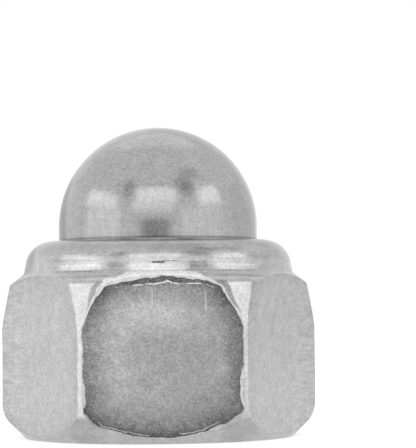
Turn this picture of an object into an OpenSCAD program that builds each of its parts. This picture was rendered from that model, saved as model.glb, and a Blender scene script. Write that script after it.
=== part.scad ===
// Hexagon domed cap nut with a locking ring.
// A cold formed hexagon body carries a round collar whose rim is rolled in over the flange of a
// separate drawn cap. A plastic locking ring lies below the flange and grips the bolt's thread.
// The origin is the centre of the bearing face and +Z runs up the bolt's axis. Two corners of the
// hexagon lie along X and two flats face along Y.

/* [Hexagon] */
// Width across the flats
across_flats = 13; // [11:0.1:16]
// How far the sharp corners of the hexagon are trimmed back, on the radius
corner_trim = 0.105; // [0.02:0.005:0.4]
// Height below the shoulder over which the corners lean inwards
lean_h = 2.04; // [0.5:0.01:3]
// Lean of the corners from the vertical
lean_angle = 10.5; // [4:0.5:15]
// Slope of the shoulder below the horizontal
shoulder_angle = 37; // [20:1:45]
// Radius on the shoulder's outer corner
shoulder_round = 0.3; // [0.1:0.05:0.5]

/* [Bearing end] */
// Height at which the flats begin to curve in towards the bearing face
edge_z = 1.62; // [1.3:0.01:2.4]
// Radius of that curve
edge_round = 1.3; // [0.8:0.05:1.4]
// Slope of the chamfer below the curve, from the horizontal
edge_angle = 45; // [35:1:60]
// Radius on the rim of the bearing face
rim_round = 0.12; // [0.05:0.01:0.2]

/* [Collar] */
// Height of the rolled rim above the outer corner of the shoulder
collar_h = 2.04; // [1.6:0.01:2.8]
// How far the collar stands back from the flats
collar_step = 0.22; // [0.1:0.01:0.6]
// Wall of the collar
collar_wall = 0.83; // [0.6:0.01:1]
// Thickness of the rim that is rolled in over the cap
lip_t = 0.83; // [0.6:0.01:1]
// Outer radius of the roll
roll_round = 1.2; // [0.7:0.05:1.3]
// Radius on the inner edge of the rolled rim
lip_round = 0.12; // [0.05:0.01:0.15]
// Fillet between the collar and the shoulder
collar_fillet = 0.3; // [0.1:0.05:0.5]

/* [Cap] */
// Thickness of the cap's sheet
sheet_t = 0.5; // [0.3:0.05:0.6]
// Width of the cap's flange beyond its dome
flange_w = 0.66; // [0.5:0.01:1]
// Straight wall of the cap between the collar and the dome
cap_straight = 0.69; // [0:0.01:4]
// Bend radius between the flange and the wall, inside the sheet's bend
bend_round = 0.12; // [0.05:0.01:0.15]

/* [Thread] */
// Nominal thread diameter
thread_d = 8; // [6:0.1:9.6]
// Thread pitch
thread_pitch = 1.25; // [0.75:0.05:1.5]
// Height of the ring's seat above the bearing face, where the thread ends
seat_z = 5.9; // [4.9:0.1:7.1]
// How much wider than the thread the mouth of the hole is
mouth_extra = 0.7; // [0.2:0.1:1]
// Full angle of the countersinks at both ends of the thread
countersink_angle = 120; // [90:5:120]

/* [Locking ring] */
// Thickness of the ring
ring_t = 2; // [1:0.1:2.4]
// How much smaller than the thread the hole of the ring is
ring_grip = 0.7; // [0.3:0.1:1]
// Bevel on the edges of the ring
ring_bevel = 0.15; // [0.05:0.05:0.3]

/* [Fits] */
// Gap between the cap and the rolled rim
lip_gap = 0.2; // [0.15:0.01:0.3]
// Radial clearance of the flange and of the ring in the collar
recess_clearance = 0.1; // [0.02:0.01:0.2]

/* [Hidden] */
$fn = 96;
over = 1;                                              // how far a cut runs past a face
arc_lap = 0.0005;                                      // how far an arc laps over its tangents

corner_r = across_flats / 2 / cos(30) - corner_trim;   // radius of the trimmed corners
collar_r = across_flats / 2 - collar_step;
recess_r = collar_r - collar_wall;                     // the room for the ring and the flange
flange_r = recess_r - recess_clearance;
dome_r = flange_r - flange_w;
lip_r = dome_r + lip_gap;

ring_top = seat_z + ring_t;
flange_top = ring_top + sheet_t;
collar_top = flange_top + lip_t;
dome_z = collar_top + cap_straight;                    // centre of the dome
shoulder_z = collar_top - collar_h;                    // outer corner of the shoulder
lean_z = shoulder_z - lean_h;

minor_r = (thread_d - 1.0825 * thread_pitch) / 2;      // crest radius of an internal metric thread
mouth_r = (thread_d + mouth_extra) / 2;
sink_slope = tan(90 - countersink_angle / 2);

edge_end = [corner_r - edge_round + edge_round * sin(edge_angle),
            edge_z - edge_round * cos(edge_angle)];    // where the lower curve meets its chamfer
base_r = edge_end[0] - edge_end[1] / tan(edge_angle);
shoulder_r = corner_r - lean_h * tan(lean_angle);
shoulder_top = shoulder_z + (shoulder_r - collar_r) * tan(shoulder_angle);
fillet_top = shoulder_top + collar_fillet * tan(45 - shoulder_angle / 2);
roll_room = min(collar_top - fillet_top - arc_lap, collar_r - lip_r - 1.5 * lip_round);
roll_r = min(roll_round, roll_room);                   // the roll is limited by the collar's size

function unit(v) = v / norm(v);
function last(list, i) = list[(i + len(list) - 1) % len(list)];
function next(list, i) = list[(i + 1) % len(list)];
function turn(a, c, b) = (c[0] - a[0]) * (b[1] - c[1]) - (c[1] - a[1]) * (b[0] - c[0]);
function corner_angle(a, c, b) = acos(unit(a - c) * unit(b - c));
function tangent(a, c, b, r) = c + unit(a - c) * r / tan(corner_angle(a, c, b) / 2);
function round_centre(a, c, b, r) =
  c + unit(unit(a - c) + unit(b - c)) * r / sin(corner_angle(a, c, b) / 2);

// One circle of the given radius in each corner that turns the given way
module corner_circles(points, radii, way) {
  for (i = [0:len(points) - 1])
    if (radii[i] > 0 && turn(last(points, i), points[i], next(points, i)) * way > 0)
      translate(round_centre(last(points, i), points[i], next(points, i), radii[i]))
        circle(r = radii[i] + arc_lap);
}

// An outline of straight lines whose corners are rounded to true arcs. The points run
// anticlockwise, and a radius of 0 leaves a corner sharp.
module rounded_outline(points, radii) {
  difference() {
    union() {
      polygon([for (i = [0:len(points) - 1])
        each radii[i] > 0
          ? [tangent(last(points, i), points[i], next(points, i), radii[i]),
             tangent(next(points, i), points[i], last(points, i), radii[i])]
          : [points[i]]]);
      corner_circles(points, radii, 1);
    }
    corner_circles(points, radii, -1);
  }
}

// Half section of the turned outside of the body, from the bearing face to the rolled rim
module body_section() {
  corner = [corner_r, edge_z - edge_round * tan(edge_angle / 2)];
  rounded_outline(
    [[0, 0], [base_r, 0], corner, [corner_r, lean_z], [shoulder_r, shoulder_z],
     [collar_r, shoulder_top], [collar_r, collar_top], [0, collar_top]],
    [0, rim_round, edge_round, 0, shoulder_round, collar_fillet, roll_r, 0]);
}

// Half section of the threaded hole's crests with a countersink at each end
module hole_section() {
  polygon([
    [0, -over], [mouth_r + over / sink_slope, -over], [mouth_r, 0],
    [minor_r, (mouth_r - minor_r) * sink_slope],
    [minor_r, seat_z - (thread_d / 2 - minor_r) * sink_slope],
    [thread_d / 2, seat_z], [0, seat_z]]);
}

// Hexagon body with its collar, the room inside it and the rim rolled in over the cap's flange
module nut_body() {
  color([0.74, 0.74, 0.75])
    difference() {
      intersection() {
        cylinder(h = collar_top, d = across_flats / cos(30), $fn = 6);
        rotate_extrude() body_section();
      }
      rotate_extrude() hole_section();
      translate([0, 0, seat_z]) cylinder(h = flange_top - seat_z, r = recess_r);
      rotate_extrude()
        difference() {
          translate([0, flange_top - over]) square([lip_r + lip_round, lip_t + over]);
          translate([lip_r, flange_top - over]) square([lip_round, lip_t + over - lip_round]);
          translate([lip_r + lip_round, collar_top - lip_round]) circle(r = lip_round);
        }
    }
}

// Plastic ring that lies on the seat and grips the thread
module locking_ring() {
  inner_r = (thread_d - ring_grip) / 2;
  color([0.9, 0.9, 0.87])
    rotate_extrude()
      polygon([
        [inner_r + ring_bevel, seat_z], [flange_r - ring_bevel, seat_z],
        [flange_r, seat_z + ring_bevel], [flange_r, ring_top - ring_bevel],
        [flange_r - ring_bevel, ring_top], [inner_r + ring_bevel, ring_top],
        [inner_r, ring_top - ring_bevel], [inner_r, seat_z + ring_bevel]]);
}

// Drawn sheet cap: a flange, a short straight wall and a hemisphere
module dome_cap() {
  inside_r = dome_r - sheet_t;
  color([0.7, 0.7, 0.71])
    rotate_extrude()
      difference() {
        union() {
          rounded_outline(
            [[0, ring_top], [flange_r, ring_top], [flange_r, flange_top],
             [dome_r, flange_top], [dome_r, dome_z], [0, dome_z]],
            [0, 0, 0, bend_round, 0, 0]);
          intersection() {
            translate([0, dome_z]) circle(r = dome_r);
            translate([0, dome_z]) square([dome_r, dome_r]);
          }
        }
        rounded_outline(
          [[-over, ring_top - over], [flange_r, ring_top - over], [flange_r, ring_top],
           [inside_r, ring_top], [inside_r, dome_z], [-over, dome_z]],
          [0, 0, 0, bend_round + sheet_t, 0, 0]);
        translate([0, dome_z]) circle(r = inside_r);
      }
}

nut_body();
locking_ring();
dome_cap();
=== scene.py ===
"""Looks of a hexagon domed cap nut with a locking ring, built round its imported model."""

import logging
import math
from dataclasses import dataclass, field, replace
from enum import Enum
from typing import Iterable, Sequence, Union

import bpy
import numpy as np
from mathutils import Matrix, Vector, noise


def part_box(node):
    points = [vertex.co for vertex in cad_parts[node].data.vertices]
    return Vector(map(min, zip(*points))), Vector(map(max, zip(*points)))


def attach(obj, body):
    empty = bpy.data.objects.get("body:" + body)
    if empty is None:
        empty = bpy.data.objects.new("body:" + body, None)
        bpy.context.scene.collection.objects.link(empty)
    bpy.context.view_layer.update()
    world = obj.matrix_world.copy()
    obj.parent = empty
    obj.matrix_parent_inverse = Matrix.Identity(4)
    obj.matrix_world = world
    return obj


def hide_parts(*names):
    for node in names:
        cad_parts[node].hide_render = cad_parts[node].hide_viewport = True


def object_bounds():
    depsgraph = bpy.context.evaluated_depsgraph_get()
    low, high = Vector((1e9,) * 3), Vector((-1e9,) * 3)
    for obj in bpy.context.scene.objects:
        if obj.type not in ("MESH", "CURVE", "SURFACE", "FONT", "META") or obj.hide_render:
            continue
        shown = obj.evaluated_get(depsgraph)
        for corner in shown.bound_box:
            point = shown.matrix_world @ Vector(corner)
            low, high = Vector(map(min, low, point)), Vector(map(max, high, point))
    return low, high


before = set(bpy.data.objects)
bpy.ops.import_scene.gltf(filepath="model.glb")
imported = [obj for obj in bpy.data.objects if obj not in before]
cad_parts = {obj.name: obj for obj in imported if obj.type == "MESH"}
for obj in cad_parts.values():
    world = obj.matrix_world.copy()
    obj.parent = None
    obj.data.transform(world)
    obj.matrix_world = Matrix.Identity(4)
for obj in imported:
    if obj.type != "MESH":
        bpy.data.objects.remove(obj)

MM = 0.001                      # every size below is in millimetres
LOG = logging.getLogger("cap_nut")
CAD_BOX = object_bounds()

Socket = bpy.types.NodeSocket
Value = Union[float, Socket, "Signal"]
Span = tuple[float, float]
Stops = Sequence[Span]
Ring = list[int]


# ---------------------------------------------------------------------------------------------
# Outlines and skins
# ---------------------------------------------------------------------------------------------

@dataclass(frozen=True)
class Corner:
    """A corner of a half section.

    Attributes:
        r: Distance from the axis.
        z: Height above the bearing face.
        rounding: Radius that the corner is rounded to.
        step: Longest spacing of the points on the line that leads here, or 0 for none between.
    """

    r: float
    z: float
    rounding: float = 0.0
    step: float = 0.0

    def point(self) -> np.ndarray:
        """The sharp corner."""
        return np.array([self.r, self.z])

    def rounded(self, before: "Corner", after: "Corner", arc_step: float) -> list[np.ndarray]:
        """Points along the arc that rounds this corner.

        Args:
            before: The corner before this one.
            after: The corner after it.
            arc_step: Longest spacing of the points.

        Returns:
            The (r, z) points in order.
        """
        c = self.point()
        a, b = before.point() - c, after.point() - c
        a /= np.linalg.norm(a)
        b /= np.linalg.norm(b)
        half = math.acos(float(np.clip(a @ b, -1, 1))) / 2
        centre = c + (a + b) / np.linalg.norm(a + b) * self.rounding / math.sin(half)
        first = c + a * self.rounding / math.tan(half) - centre
        last = c + b * self.rounding / math.tan(half) - centre
        sweep = math.pi - 2 * half
        count = max(3, math.ceil(sweep * self.rounding / arc_step))
        shares = np.linspace(0, 1, count + 1)
        return [centre + (math.sin(sweep * (1 - t)) * first + math.sin(sweep * t) * last) / math.sin(sweep)
                for t in shares]


def outline(corners: Sequence[Corner], arc_step: float = 0.06) -> np.ndarray:
    """Points along an open half section whose inner corners are rounded.

    Args:
        corners: The corners in order.
        arc_step: Longest spacing of the points on the arcs.

    Returns:
        An array of (r, z) rows.
    """
    points: list[np.ndarray] = []
    for i, corner in enumerate(corners):
        reached = [corner.point()]
        if corner.rounding > 0:
            reached = corner.rounded(corners[i - 1], corners[i + 1], arc_step)
        if points and corner.step > 0:
            start, way = points[-1], reached[0] - points[-1]
            count = max(1, math.ceil(float(np.linalg.norm(way)) / corner.step))
            points += [start + way * t / count for t in range(1, count)]
        points += reached
    return np.array(points)


def smooth_step(value: np.ndarray, low: float, high: float) -> np.ndarray:
    """A soft step from 0 at low to 1 at high."""
    t = np.clip((value - low) / (high - low), 0, 1)
    return t * t * (3 - 2 * t)


def soft_min(a: np.ndarray, b: np.ndarray, width: float) -> np.ndarray:
    """The lesser of two values, blended where they differ by less than width."""
    h = np.maximum(width - np.abs(a - b), 0) / width
    return np.minimum(a, b) - h * h * width / 4


@dataclass(frozen=True)
class Waves:
    """Smooth noise that makes a surface or an edge wander.

    Attributes:
        size: Size of its largest features.
        seed: Offset that picks the noise.
        octaves: How many sizes are added, each half as large as the last.
    """

    size: float
    seed: float
    octaves: int = 2

    def at(self, points: np.ndarray, where: np.ndarray) -> np.ndarray:
        """Works out the noise.

        Args:
            points: An array of positions whose last axis holds x, y and z.
            where: Which of the points need it.

        Returns:
            Noise of about -1 to 1 there and 0 elsewhere, shaped as where.
        """
        places = (points[where] / self.size + self.seed).tolist()
        values = np.zeros(where.shape)
        values[where] = [noise.fractal(Vector(place), 0.9, 2.0, self.octaves) for place in places]
        return values


def turned(points: np.ndarray, angles: np.ndarray) -> np.ndarray:
    """Turns half section points to every angle.

    Args:
        points: The (r, z) rows.
        angles: The angles in radians.

    Returns:
        A (points, angles, 3) array of positions.
    """
    r, z = points[:, :1], points[:, 1:]
    return np.stack([r * np.cos(angles), r * np.sin(angles), z + 0 * angles], -1)


class Skin:
    """A closed mesh grown ring by ring round the axis."""

    def __init__(self) -> None:
        """Starts with no points."""
        self.points: list[np.ndarray] = []
        self.faces: list[Sequence[int]] = []
        self.marks: dict[str, list[np.ndarray]] = {}
        self.count = 0

    def ring(self, points: np.ndarray, **marks: np.ndarray) -> Ring:
        """Adds a ring of points.

        Args:
            points: The ring's (x, y, z) rows.
            marks: One value per point for each named attribute.

        Returns:
            The numbers of the new points.
        """
        for name in marks:
            self.marks.setdefault(name, [np.zeros(self.count)])
        for name, values in self.marks.items():
            values.append(np.asarray(marks.get(name, np.zeros(len(points))), float))
        self.points.append(points)
        numbers = list(range(self.count, self.count + len(points)))
        self.count += len(points)
        return numbers

    def join(self, a: Ring, b: Ring) -> None:
        """Fills the band between two rings.

        Args:
            a: One ring.
            b: The other ring. One of them may have a multiple of the other's points.
        """
        few, many = (a, b) if len(a) <= len(b) else (b, a)
        share = len(many) // len(few)
        for i in range(len(few)):
            run = [many[(i * share + k) % len(many)] for k in range(share + 1)]
            face = [few[i], few[(i + 1) % len(few)], *reversed(run)]
            self.faces.append(face if few is a else face[::-1])

    def join_all(self, rings: Sequence[Ring]) -> None:
        """Fills the band between each ring and the next."""
        for a, b in zip(rings, rings[1:]):
            self.join(a, b)

    def close(self, name: str) -> bpy.types.Object:
        """Merges equal points and makes the object.

        Args:
            name: Name of the object.

        Returns:
            The object, linked to the scene.
        """
        points = np.concatenate(self.points)
        _, kept, place = np.unique(np.round(points, 5), axis=0, return_index=True, return_inverse=True)
        place = place.reshape(-1)
        faces = []
        for face in self.faces:
            merged = [int(place[n]) for n in face]
            merged = [n for i, n in enumerate(merged) if n != merged[i - 1]]
            if len(set(merged)) > 2:
                faces.append(merged)
        mesh = bpy.data.meshes.new(name)
        mesh.from_pydata((points[kept] * MM).tolist(), [], faces)
        for mark, values in self.marks.items():
            layer = mesh.attributes.new(mark, "FLOAT", "POINT")
            layer.data.foreach_set("value", np.concatenate(values)[kept].astype(np.float32))
        mesh.validate()
        mesh.shade_smooth()
        return linked(name, mesh)


def linked(name: str, data: bpy.types.ID) -> bpy.types.Object:
    """Makes an object and links it to the scene.

    Args:
        name: Name of the object.
        data: Its mesh, lamp or camera.

    Returns:
        The object.
    """
    made = bpy.data.objects.new(name, data)
    bpy.context.scene.collection.objects.link(made)
    return made


# ---------------------------------------------------------------------------------------------
# Shader graphs
# ---------------------------------------------------------------------------------------------

class Signal:
    """A number or colour that varies over a surface. Sums on it add nodes to its graph."""

    def __init__(self, graph: "Graph", socket: Socket) -> None:
        """Takes the socket that puts it out."""
        self.graph = graph
        self.socket = socket

    def __add__(self, other: Value) -> "Signal":
        """The sum of both."""
        return self.graph.math("ADD", self, other)

    def __sub__(self, other: Value) -> "Signal":
        """What is left when the other is taken away."""
        return self.graph.math("SUBTRACT", self, other)

    def __rsub__(self, other: float) -> "Signal":
        """What is left when this one is taken from a number."""
        return self.graph.math("SUBTRACT", other, self)

    def __mul__(self, other: Value) -> "Signal":
        """The product of both."""
        return self.graph.math("MULTIPLY", self, other)

    def __truediv__(self, other: Value) -> "Signal":
        """This one divided by the other."""
        return self.graph.math("DIVIDE", self, other)

    def __rtruediv__(self, other: float) -> "Signal":
        """A number divided by this one."""
        return self.graph.math("DIVIDE", other, self)

    def __abs__(self) -> "Signal":
        """The distance from 0."""
        return self.graph.math("ABSOLUTE", self)

    def cosine(self) -> "Signal":
        """The cosine of an angle in radians."""
        return self.graph.math("COSINE", self)

    def root(self) -> "Signal":
        """The square root."""
        return self.graph.math("SQRT", self)

    def angle_to(self, other: "Signal") -> "Signal":
        """The angle whose opposite side is this one and whose near side is the other."""
        return self.graph.math("ARCTAN2", self, other)

    def step(self, low: Value, high: Value, start: Value = 0.0, end: Value = 1.0) -> "Signal":
        """A soft step over a range of this number.

        Args:
            low: Where the step begins.
            high: Where it ends.
            start: What it puts out below low.
            end: What it puts out above high.

        Returns:
            The step.
        """
        made = self.graph.node("MapRange", interpolation_type="SMOOTHSTEP")
        given = {"Value": self, "From Min": low, "From Max": high, "To Min": start, "To Max": end}
        for name, value in given.items():
            self.graph.feed(made.inputs[name], value)
        return Signal(self.graph, made.outputs["Result"])

    def fall(self, low: Value, high: Value) -> "Signal":
        """A soft step from 1, where this number is low, to 0, where it is high."""
        return self.step(low, high, 1.0, 0.0)

    def window(self, low: float, high: float, soft: float) -> "Signal":
        """A mask that is 1 between low and high, with edges of width soft centred on them."""
        half = soft / 2
        return self.step(low - half, low + half) * self.fall(high - half, high + half)

    def ramp(self, stops: Stops) -> "Signal":
        """A tone that runs straight from stop to stop.

        Args:
            stops: Pairs of this number and the tone there, in rising order.

        Returns:
            The tone.
        """
        low, high = stops[0][0], stops[-1][0]
        share = self.graph.node("MapRange")
        for name, value in {"Value": self, "From Min": low, "From Max": high}.items():
            self.graph.feed(share.inputs[name], value)
        made = self.graph.node("ValToRGB")
        elements = made.color_ramp.elements
        while len(elements) < len(stops):
            elements.new(0.5)
        for element, (at, tone) in zip(elements, stops):
            element.position = (at - low) / (high - low)
            element.color = (tone / 2, tone / 2, tone / 2, 1)
        self.graph.feed(made.inputs[0], share.outputs["Result"])
        return Signal(self.graph, made.outputs["Color"]) * 2.0

    def about_one(self, contrast: Value) -> "Signal":
        """A tone that scatters about 1 as this noise scatters about a half."""
        return (self - 0.5) * contrast + 1.0

    def laid(self, other: Value, where: "Signal") -> "Signal":
        """This tone with another one over it where a mask is 1."""
        return self.graph.mix(where, self, other)

    def scaled(self, factor: Value, where: "Signal") -> "Signal":
        """This tone times a factor where a mask is 1."""
        return self * self.graph.mix(where, 1.0, factor)


class Graph:
    """Short calls that build one node tree."""

    def __init__(self, tree: bpy.types.NodeTree) -> None:
        """Takes the tree that the nodes go in."""
        self.tree = tree

    def node(self, kind: str, **settings: object) -> bpy.types.Node:
        """Adds a node.

        Args:
            kind: The node's type, without its prefix.
            settings: Properties to set on it.

        Returns:
            The node.
        """
        made = self.tree.nodes.new("ShaderNode" + kind)
        for name, value in settings.items():
            setattr(made, name, value)
        return made

    def feed(self, target: Socket, value: object) -> None:
        """Links an output to an input, or sets the input.

        Args:
            target: The input.
            value: A signal, a socket, or a plain number or colour.
        """
        given = value.socket if isinstance(value, Signal) else value
        if isinstance(given, bpy.types.NodeSocket):
            self.tree.links.new(given, target)
        else:
            target.default_value = given

    def fed(self, kind: str, *values: object, **settings: object) -> bpy.types.Node:
        """Adds a node and feeds its first inputs.

        Args:
            kind: The node's type, without its prefix.
            values: What its inputs are fed with, in order.
            settings: Properties to set on it.

        Returns:
            The node.
        """
        made = self.node(kind, **settings)
        for target, value in zip(made.inputs, values):
            self.feed(target, value)
        return made

    def math(self, operation: str, *values: Value) -> Signal:
        """One sum on one or two values."""
        return Signal(self, self.fed("Math", *values, operation=operation).outputs[0])

    def mix(self, factor: Signal, a: Value, b: Value) -> Signal:
        """Blends two values.

        Args:
            factor: The share of the second value.
            a: The first value.
            b: The second value.

        Returns:
            The blend.
        """
        made = self.node("Mix", data_type="FLOAT")
        for number, value in ((0, factor), (2, a), (3, b)):
            self.feed(made.inputs[number], value)
        return Signal(self, made.outputs[0])

    def vector(self, x: Value, y: Value, z: Value) -> Signal:
        """A vector of three values."""
        return Signal(self, self.fed("CombineXYZ", x, y, z).outputs[0])

    def noise(self, position: Signal, size: Value, detail: float,
              stretch: Sequence[float] = (1, 1, 1)) -> Signal:
        """Adds cloudy noise.

        Args:
            position: The place in millimetres.
            size: Size of its largest features in millimetres.
            detail: How many finer sizes it has.
            stretch: Factor on each direction, below 1 to draw the noise out along it.

        Returns:
            The noise, which scatters about a half.
        """
        drawn = self.fed("VectorMath", position, stretch, operation="MULTIPLY").outputs[0]
        made = self.node("TexNoise")
        for name, value in {"Vector": drawn, "Scale": 1 / size, "Detail": detail}.items():
            self.feed(made.inputs[name], value)
        return Signal(self, made.outputs["Fac"])

    def place(self, group: bpy.types.NodeTree, **inputs: Value) -> dict[str, Signal]:
        """Adds a node group.

        Args:
            group: The group.
            inputs: What its named inputs are fed with.

        Returns:
            The group's outputs by name.
        """
        made = self.node("Group", node_tree=group)
        for name, value in inputs.items():
            self.feed(made.inputs[name], value)
        return {socket.name: Signal(self, socket) for socket in made.outputs}

    def mix_shader(self, factor: Value, a: Socket, b: Socket) -> Socket:
        """A blend of two shaders."""
        return self.fed("MixShader", factor, a, b).outputs[0]

    def shade(self, target: Socket, colour: Sequence[float], tone: Signal) -> None:
        """Feeds a colour input with a colour times a tone.

        Args:
            target: The colour input.
            colour: The colour.
            tone: The tone.
        """
        made = self.node("VectorMath", operation="SCALE")
        self.feed(made.inputs[0], colour)
        self.feed(made.inputs["Scale"], tone)
        self.feed(target, made.outputs[0])

    def relief(self, shader: bpy.types.Node, height: Signal, strength: float, distance: float) -> None:
        """Gives a shader a bump.

        Args:
            shader: The shader.
            height: Height of the relief, from 0 to 1.
            strength: Strength of the bump.
            distance: Height in millimetres that 1 stands for.
        """
        bump = self.node("Bump")
        for name, value in {"Height": height, "Strength": strength, "Distance": distance * MM}.items():
            self.feed(bump.inputs[name], value)
        self.feed(shader.inputs["Normal"], bump.outputs[0])


class Kind(Enum):
    """Kinds of socket that a node group has."""

    VALUE = "NodeSocketFloat"
    VECTOR = "NodeSocketVector"


POSITION = {"Position": Kind.VECTOR}


def numbers(*names: str) -> dict[str, Kind]:
    """Names of sockets that each carry a plain number."""
    return {name: Kind.VALUE for name in names}


class Group(Graph):
    """The graph of a shader node group."""

    def __init__(self, name: str, inputs: dict[str, Kind], outputs: dict[str, Kind]) -> None:
        """Starts the group.

        Args:
            name: Name of the group.
            inputs: Its inputs and their kinds.
            outputs: Its outputs and their kinds.
        """
        super().__init__(bpy.data.node_groups.new(name, "ShaderNodeTree"))
        for way, sockets in (("INPUT", inputs), ("OUTPUT", outputs)):
            for label, kind in sockets.items():
                self.tree.interface.new_socket(label, in_out=way, socket_type=kind.value)
        start = self.tree.nodes.new("NodeGroupInput")
        self.end = self.tree.nodes.new("NodeGroupOutput")
        self.given = {name: Signal(self, start.outputs[name]) for name in inputs}

    def put_out(self, **signals: object) -> bpy.types.NodeTree:
        """Feeds the group's outputs.

        Args:
            signals: What each named output is fed with.

        Returns:
            The finished group.
        """
        for name, signal in signals.items():
            self.feed(self.end.inputs[name], signal)
        return self.tree


def position_group() -> bpy.types.NodeTree:
    """Makes the group that puts out the place on the object in millimetres, and its parts.

    Returns:
        The group.
    """
    g = Group("place_in_mm", {}, POSITION | numbers("Across", "Back", "Height"))
    scaled = g.node("VectorMath", operation="SCALE")
    g.feed(scaled.inputs[0], g.node("TexCoord").outputs["Object"])
    g.feed(scaled.inputs["Scale"], 1 / MM)
    across, back, height = g.fed("SeparateXYZ", scaled.outputs[0]).outputs
    return g.put_out(Position=scaled.outputs[0], Across=across, Back=back, Height=height)


def grain_group() -> bpy.types.NodeTree:
    """Makes the group for fine pitted grain: a height from 0 to 1, and a tone that scatters about 1.

    Returns:
        The group.
    """
    g = Group("pitted_grain", POSITION | numbers("Size", "Contrast"), numbers("Height", "Tone"))
    position, size = g.given["Position"], g.given["Size"]
    soft = g.noise(position, size * 2.2, 2.0)
    pits = g.node("TexVoronoi", feature="F1")
    g.feed(pits.inputs["Vector"], position)
    g.feed(pits.inputs["Scale"], 1 / size)
    cell = Signal(g, g.fed("SeparateColor", pits.outputs["Color"]).outputs[0])
    height = (cell + soft) * 0.5
    return g.put_out(Height=height, Tone=height.about_one(g.given["Contrast"]))


def stain_group() -> bpy.types.NodeTree:
    """Makes the group for broad soft clouding, a tone that scatters about 1.

    Returns:
        The group.
    """
    g = Group("soft_clouding", POSITION | numbers("Size", "Contrast"), numbers("Tone"))
    cloud = g.noise(g.given["Position"], g.given["Size"], 2.0)
    return g.put_out(Tone=cloud.about_one(g.given["Contrast"]))


def tool_line_group() -> bpy.types.NodeTree:
    """Makes the group for broken lines round the axis, as a turning or rolling tool leaves them.

    Returns:
        The group.
    """
    g = Group("tool_lines", POSITION | numbers("Along", "Pitch", "Contrast"), numbers("Height", "Tone"))
    position = g.given["Position"]
    along = g.given["Along"] + g.noise(position, 3.5, 1.0) * 0.2
    lines = g.noise(g.vector(0.0, 0.0, along / g.given["Pitch"]), 1.0, 1.5)
    gaps = g.noise(position, 1.1, 2.0).step(0.3, 0.7, 0.15, 1.0)
    height = g.mix(gaps, 0.5, lines)
    return g.put_out(Height=height, Tone=height.about_one(g.given["Contrast"]))


def collar_band_group() -> bpy.types.NodeTree:
    """Makes the group for a rough thin line that runs some way round the axis.

    Returns:
        The group.
    """
    inputs = numbers("Across", "Back", "Height", "Level", "At", "Spread", "Width", "Rough")
    g = Group("collar_band", POSITION | inputs, numbers("Mask"))
    position, spread = g.given["Position"], g.given["Spread"]
    drift = (g.noise(position, 1.6, 3.0) - 0.5) * 0.09
    off = abs(g.given["Height"] - g.given["Level"] + drift)
    rough = g.noise(position, 0.14, 2.0).step(0.3, 0.7, -0.7, 0.6) * g.given["Rough"]
    turn = (g.given["Across"].angle_to(g.given["Back"] * -1.0) - g.given["At"]).cosine()
    fade = turn.step(spread.cosine(), (spread * 0.6).cosine())
    wide = g.given["Width"] * (rough + 1.0) * fade.root()
    line = (off / g.math("MAXIMUM", wide, 0.001)).fall(0.3, 1.0)
    return g.put_out(Mask=line * fade)


def score_group() -> bpy.types.NodeTree:
    """Makes the group for one nearly upright scratch on the front flat.

    Returns:
        The group.
    """
    inputs = numbers("Across", "Back", "Height", "Foot", "Lean", "Low", "High", "Width")
    g = Group("score_mark", inputs, numbers("Mask"))
    rise = g.given["Height"] - g.given["Low"]
    off = abs(g.given["Across"] - (g.given["Foot"] + rise * g.given["Lean"]))
    near = (off / g.given["Width"]).fall(0.3, 1.0)
    ends = rise.step(0.0, 0.25) * (g.given["High"] - g.given["Height"]).step(0.0, 0.25)
    front = g.math("LESS_THAN", g.given["Back"], -6.0)
    return g.put_out(Mask=near * ends * front)


@dataclass(frozen=True)
class Groups:
    """The node groups that the finishes share."""

    position: bpy.types.NodeTree = field(default_factory=position_group)
    grain: bpy.types.NodeTree = field(default_factory=grain_group)
    stain: bpy.types.NodeTree = field(default_factory=stain_group)
    tool_lines: bpy.types.NodeTree = field(default_factory=tool_line_group)
    collar_band: bpy.types.NodeTree = field(default_factory=collar_band_group)
    score: bpy.types.NodeTree = field(default_factory=score_group)


@dataclass(frozen=True)
class Surface:
    """The places on a piece and the shared effects at them. Lengths are in millimetres.

    Attributes:
        g: The graph of the piece's material.
        groups: The shared node groups.
        position: The place itself.
        across: Distance to the right of the axis.
        back: Distance behind the axis.
        height: Height above the bearing face.
    """

    g: Graph
    groups: Groups
    position: Signal
    across: Signal
    back: Signal
    height: Signal

    def grain(self, size: float, contrast: Value) -> dict[str, Signal]:
        """Height and tone of a fine pitted grain."""
        return self.g.place(self.groups.grain, Position=self.position, Size=size, Contrast=contrast)

    def tool_lines(self, pitch: float, contrast: Value) -> dict[str, Signal]:
        """Height and tone of the lines that a tool leaves round the axis."""
        return self.g.place(
            self.groups.tool_lines, Position=self.position, Along=self.height, Pitch=pitch, Contrast=contrast)

    def clouding(self, size: float, contrast: Value) -> Signal:
        """Tone of broad soft clouding."""
        return self.clouding_at(self.position, size, contrast)

    def clouding_at(self, position: Signal, size: float, contrast: Value) -> Signal:
        """Tone of soft clouding drawn out along other directions, which position gives."""
        return self.g.place(self.groups.stain, Position=position, Size=size, Contrast=contrast)["Tone"]

    def noise(self, size: float, detail: float, stretch: Sequence[float] = (1, 1, 1)) -> Signal:
        """Cloudy noise with features of the given size."""
        return self.g.noise(self.position, size, detail, stretch)


def new_material(name: str, groups: Groups) -> tuple[bpy.types.Material, Surface, bpy.types.Node]:
    """Starts a material.

    Args:
        name: Name of the material.
        groups: The shared node groups.

    Returns:
        The material, the surface that it covers, and its Principled shader.
    """
    material = bpy.data.materials.new(name)
    material.use_nodes = True
    g = Graph(material.node_tree)
    place = g.place(groups.position)
    surface = Surface(g, groups, place["Position"], place["Across"], place["Back"], place["Height"])
    return material, surface, material.node_tree.nodes["Principled BSDF"]


# ---------------------------------------------------------------------------------------------
# Finishes
# ---------------------------------------------------------------------------------------------

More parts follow.
